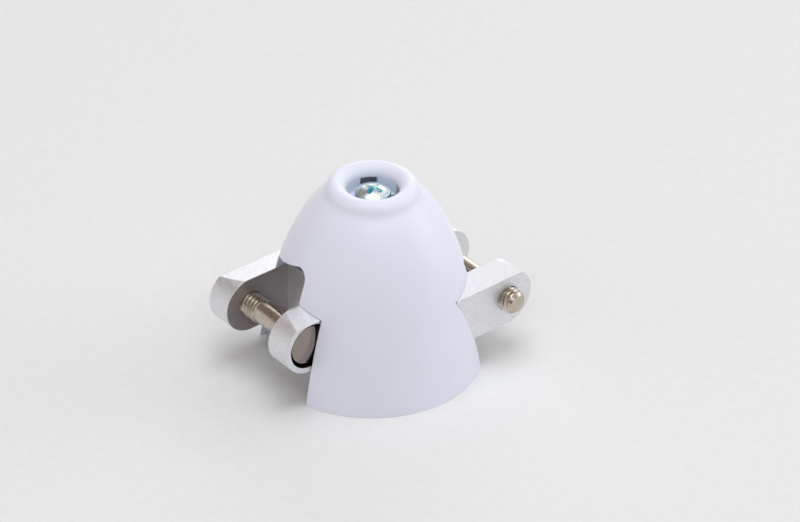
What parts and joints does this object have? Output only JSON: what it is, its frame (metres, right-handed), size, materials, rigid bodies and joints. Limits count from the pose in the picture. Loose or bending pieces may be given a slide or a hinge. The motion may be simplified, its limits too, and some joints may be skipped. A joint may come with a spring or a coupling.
{
  "type": "propeller spinner",
  "caption": "Propeller spinner for folding blades: a white domed cap over a split-clamped aluminium yoke with two forked arms and pivot screws.",
  "frame": {"origin": "on the spinner's axis, in the plane of the cap's rim", "axes": "+Z along the spinner's axis towards its nose; the pivot screws and the ears' normals lie along Y"},
  "size_m": [0.0408, 0.035, 0.031],
  "materials": {
    "cap_plastic": "matt moulded",
    "yoke_aluminium": "satin, tumbled",
    "pivot_steel": "bright nickel",
    "nose_steel": "bright zinc",
    "collet_brass": "turned",
    "washer_steel": "plain",
    "nut_aluminium": "turned"
  },
  "bodies": {
    "root": {"spinner_cap": "cap_plastic", "yoke": "yoke_aluminium", "pivot_screw_left": "pivot_steel", "pivot_screw_right": "pivot_steel", "nose_screw": "nose_steel", "collet": "collet_brass", "washer": "washer_steel", "collet_nut": "nut_aluminium"}
  },
  "joints": []
}
